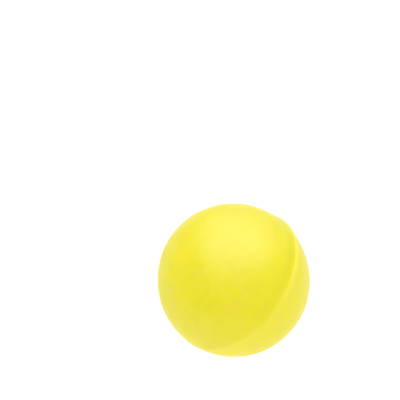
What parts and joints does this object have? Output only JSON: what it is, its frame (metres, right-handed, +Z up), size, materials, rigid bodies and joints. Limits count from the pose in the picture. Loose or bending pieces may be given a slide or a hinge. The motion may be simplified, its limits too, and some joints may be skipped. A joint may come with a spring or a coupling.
{
  "type": "playground rubber ball",
  "caption": "Hollow rubber play ball the size of a tennis ball, moulded as half shells cemented along a raised equator seam.",
  "frame": {"origin": "centre of the ball", "axes": "+Z up as the ball lies on level ground; the ball's poles lie in the XZ plane, the upper pole leaning 41 degrees from +Z towards -X, and the seam is the great circle across them; +Y along the seam's level diameter"},
  "size_m": [0.065, 0.0666, 0.065],
  "materials": {
    "shell_rubber": "matte satin moulded rubber, coloured through",
    "cured_cement": "dull cured rubber cement",
    "plug_rubber": "soft self-sealing rubber, matte"
  },
  "bodies": {
    "root": {"upper_half_shell": "shell_rubber", "lower_half_shell": "shell_rubber", "seam_cement": "cured_cement", "inflation_plug": "plug_rubber"}
  },
  "joints": []
}
